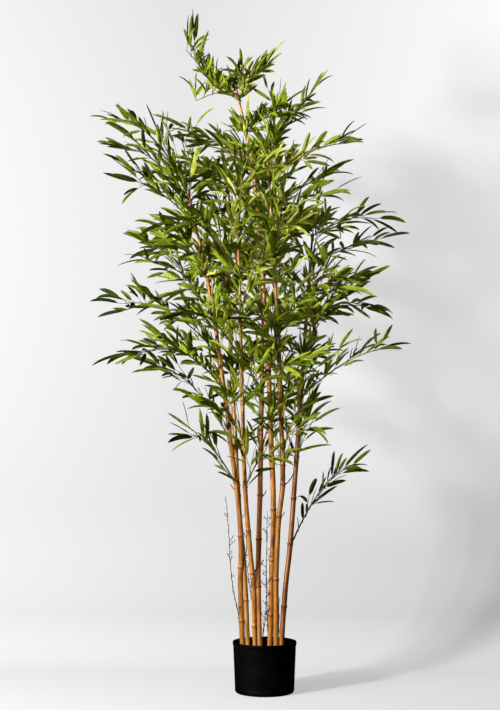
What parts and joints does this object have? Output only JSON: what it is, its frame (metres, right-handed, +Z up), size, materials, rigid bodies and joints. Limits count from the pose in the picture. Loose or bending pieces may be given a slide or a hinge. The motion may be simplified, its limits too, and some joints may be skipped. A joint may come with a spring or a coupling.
{
  "type": "potted artificial bamboo",
  "caption": "Tall artificial bamboo: slender natural canes with sprays of narrow green leaves, standing in a small filled black pot.",
  "frame": {"origin": "middle of the pot's flat underside", "axes": "+Z up along the canes, +X to the right seen from the front, -Y towards the front"},
  "size_m": [0.9117, 0.8827, 1.8],
  "materials": {
    "pot": "matte black",
    "fill": "rough dark",
    "cane": "satin natural cane",
    "foliage": "matte green leaf"
  },
  "bodies": {
    "root": {"cane_left": "cane", "cane_left_back": "cane", "cane_left_front": "cane", "cane_middle_back": "cane", "cane_middle_front": "cane", "cane_right": "cane", "cane_tall": "cane", "fill": "fill", "pot": "pot", "spray_left_1": "foliage", "spray_left_2": "foliage", "spray_left_3": "foliage", "spray_left_4": "foliage", "spray_left_5": "foliage", "spray_left_6": "foliage", "spray_left_7": "foliage", "spray_left_8": "foliage", "spray_left_back_1": "foliage", "spray_left_back_2": "foliage", "spray_left_back_3": "foliage", "spray_left_back_4": "foliage", "spray_left_back_5": "foliage", "spray_left_back_6": "foliage", "spray_left_front_1": "foliage", "spray_left_front_2": "foliage", "spray_left_front_3": "foliage", "spray_left_front_4": "foliage", "spray_left_front_5": "foliage", "spray_left_front_6": "foliage", "spray_left_front_7": "foliage", "spray_middle_back_1": "foliage", "spray_middle_back_2": "foliage", "spray_middle_back_3": "foliage", "spray_middle_back_4": "foliage", "spray_middle_back_5": "foliage", "spray_middle_back_6": "foliage", "spray_middle_front_1": "foliage", "spray_middle_front_10": "foliage", "spray_middle_front_2": "foliage", "spray_middle_front_3": "foliage", "spray_middle_front_4": "foliage", "spray_middle_front_5": "foliage", "spray_middle_front_6": "foliage", "spray_middle_front_7": "foliage", "spray_middle_front_8": "foliage", "spray_middle_front_9": "foliage", "spray_right_1": "foliage", "spray_right_2": "foliage", "spray_right_3": "foliage", "spray_right_4": "foliage", "spray_right_5": "foliage", "spray_right_6": "foliage", "spray_right_7": "foliage", "spray_right_8": "foliage", "spray_tall_1": "foliage", "spray_tall_2": "foliage", "spray_tall_3": "foliage", "spray_tall_4": "foliage", "spray_tall_5": "foliage", "spray_tall_6": "foliage"}
  },
  "joints": []
}
